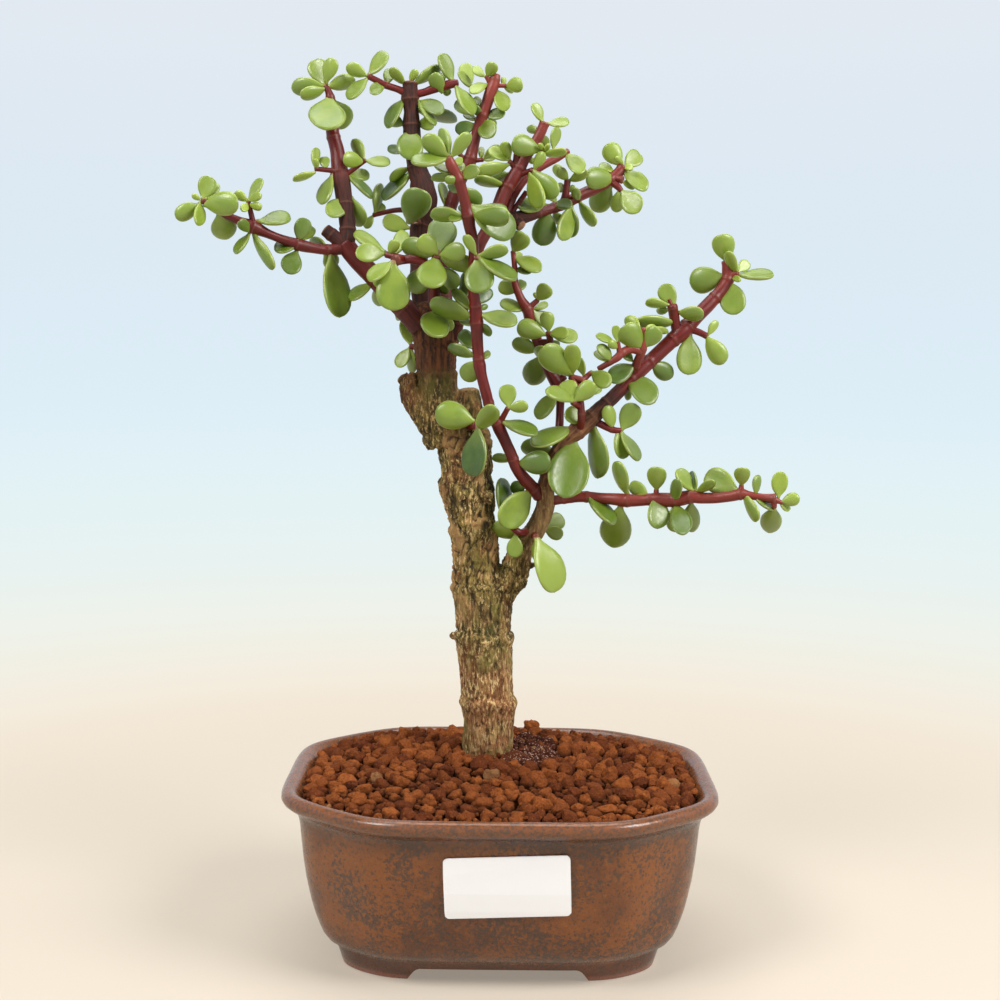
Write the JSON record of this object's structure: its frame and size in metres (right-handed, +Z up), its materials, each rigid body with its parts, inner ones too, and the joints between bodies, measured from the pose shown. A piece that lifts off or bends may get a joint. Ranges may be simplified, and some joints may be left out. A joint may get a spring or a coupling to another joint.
{
  "type": "potted bonsai",
  "caption": "Dwarf jade bonsai with a forked woody trunk, dark red stems and small round fleshy leaves, in a soft-octagon brown ceramic pot with corner feet and granular soil.",
  "frame": {"origin": "centre of the object's bounding box, on the plane the pot's feet stand on", "axes": "+Z up along the tree's height; -Y is the front, the side with the label; +X is the right seen from the front"},
  "size_m": [0.207, 0.1174, 0.3048],
  "materials": {
    "pot_ceramic": "satin",
    "drain_plastic": "matte",
    "soil_granules": "matte",
    "label_paper": "satin",
    "bark": "matte",
    "jade_foliage": "satin"
  },
  "bodies": {
    "root": {"pot": "pot_ceramic", "drain_mesh_left": "drain_plastic", "drain_mesh_right": "drain_plastic", "soil": "soil_granules", "label": "label_paper", "trunk": "bark", "left_branch": "jade_foliage", "front_left_branch": "jade_foliage", "leader": "jade_foliage", "back_stem": "jade_foliage", "right_leader": "jade_foliage", "back_right_branch": "jade_foliage", "front_stem": "jade_foliage", "right_back_stem": "jade_foliage", "right_front_stem": "jade_foliage", "right_branch": "jade_foliage", "right_inner_stem": "jade_foliage", "low_branch": "jade_foliage", "shoot_front": "jade_foliage", "shoot_left": "jade_foliage", "shoot_top": "jade_foliage", "shoot_fork_left": "jade_foliage", "shoot_fork_front": "jade_foliage", "shoot_fork_back": "jade_foliage"}
  },
  "joints": []
}
